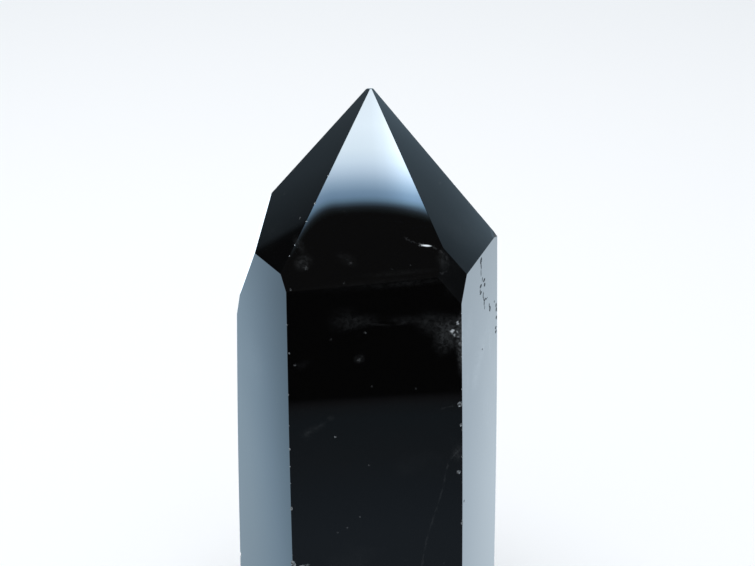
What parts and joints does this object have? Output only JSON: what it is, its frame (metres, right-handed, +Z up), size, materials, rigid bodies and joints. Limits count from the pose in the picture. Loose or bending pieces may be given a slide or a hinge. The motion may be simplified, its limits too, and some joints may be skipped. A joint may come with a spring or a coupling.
{
  "type": "morion quartz point",
  "caption": "Polished near-black quartz crystal tower: hexagonal column rising to a faceted point, on a flat base it stands on.",
  "frame": {"origin": "centre of the polished base", "axes": "+Z up through the point, -Y out of the broad front face"},
  "size_m": [0.0342, 0.027, 0.0798],
  "materials": {
    "morion_quartz": "opaque black quartz, ground flat and polished to a glassy gloss, with a few edge chips and natural pits"
  },
  "bodies": {
    "root": {"quartz_point": "morion_quartz"}
  },
  "joints": []
}
